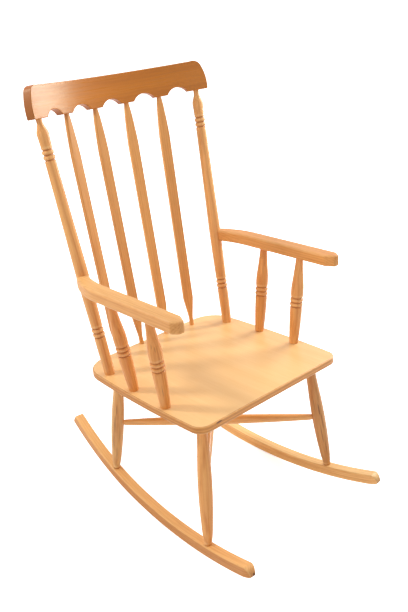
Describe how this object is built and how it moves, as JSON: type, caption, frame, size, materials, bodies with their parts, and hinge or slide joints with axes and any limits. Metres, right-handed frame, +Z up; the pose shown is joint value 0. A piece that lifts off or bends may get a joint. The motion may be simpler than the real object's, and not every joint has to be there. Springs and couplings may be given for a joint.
{
  "type": "rocking chair",
  "caption": "Wooden rocking chair with a flat laminated seat, a scalloped curved crest rail over turned posts and flat spindles, arms on turned spindles, splayed legs and bent rockers.",
  "frame": {"origin": "on the floor, under the middle of the chair's bounding box, with the rockers standing at their resting contact", "axes": "+X to the right of someone who stands in front and looks at the chair, +Y from the front edge of the seat to the back, +Z up"},
  "size_m": [0.5718, 0.8321, 1.1003],
  "materials": {
    "seat_wood": "clear satin lacquer over a honey-coloured laminated panel",
    "bent_wood": "clear satin lacquer over honey-stained hardwood, grain along the piece",
    "turned_wood": "clear satin lacquer over honey-stained hardwood, turned",
    "dowel_wood": "bare wood, hidden"
  },
  "bodies": {
    "root": {"seat": "seat_wood", "crest_rail": "bent_wood", "post_left": "turned_wood", "post_right": "turned_wood", "back_spindle_1": "bent_wood", "back_spindle_2": "bent_wood", "back_spindle_3": "bent_wood", "back_spindle_4": "bent_wood", "arm_left": "bent_wood", "arm_right": "bent_wood", "arm_spindle_front_left": "turned_wood", "arm_spindle_front_right": "turned_wood", "arm_spindle_rear_left": "turned_wood", "arm_spindle_rear_right": "turned_wood", "leg_front_left": "turned_wood", "leg_front_right": "turned_wood", "leg_rear_left": "turned_wood", "leg_rear_right": "turned_wood", "stretcher_left_front": "turned_wood", "stretcher_right_front": "turned_wood", "rocker_left": "bent_wood", "rocker_right": "bent_wood", "arm_dowels": "dowel_wood"}
  },
  "joints": []
}
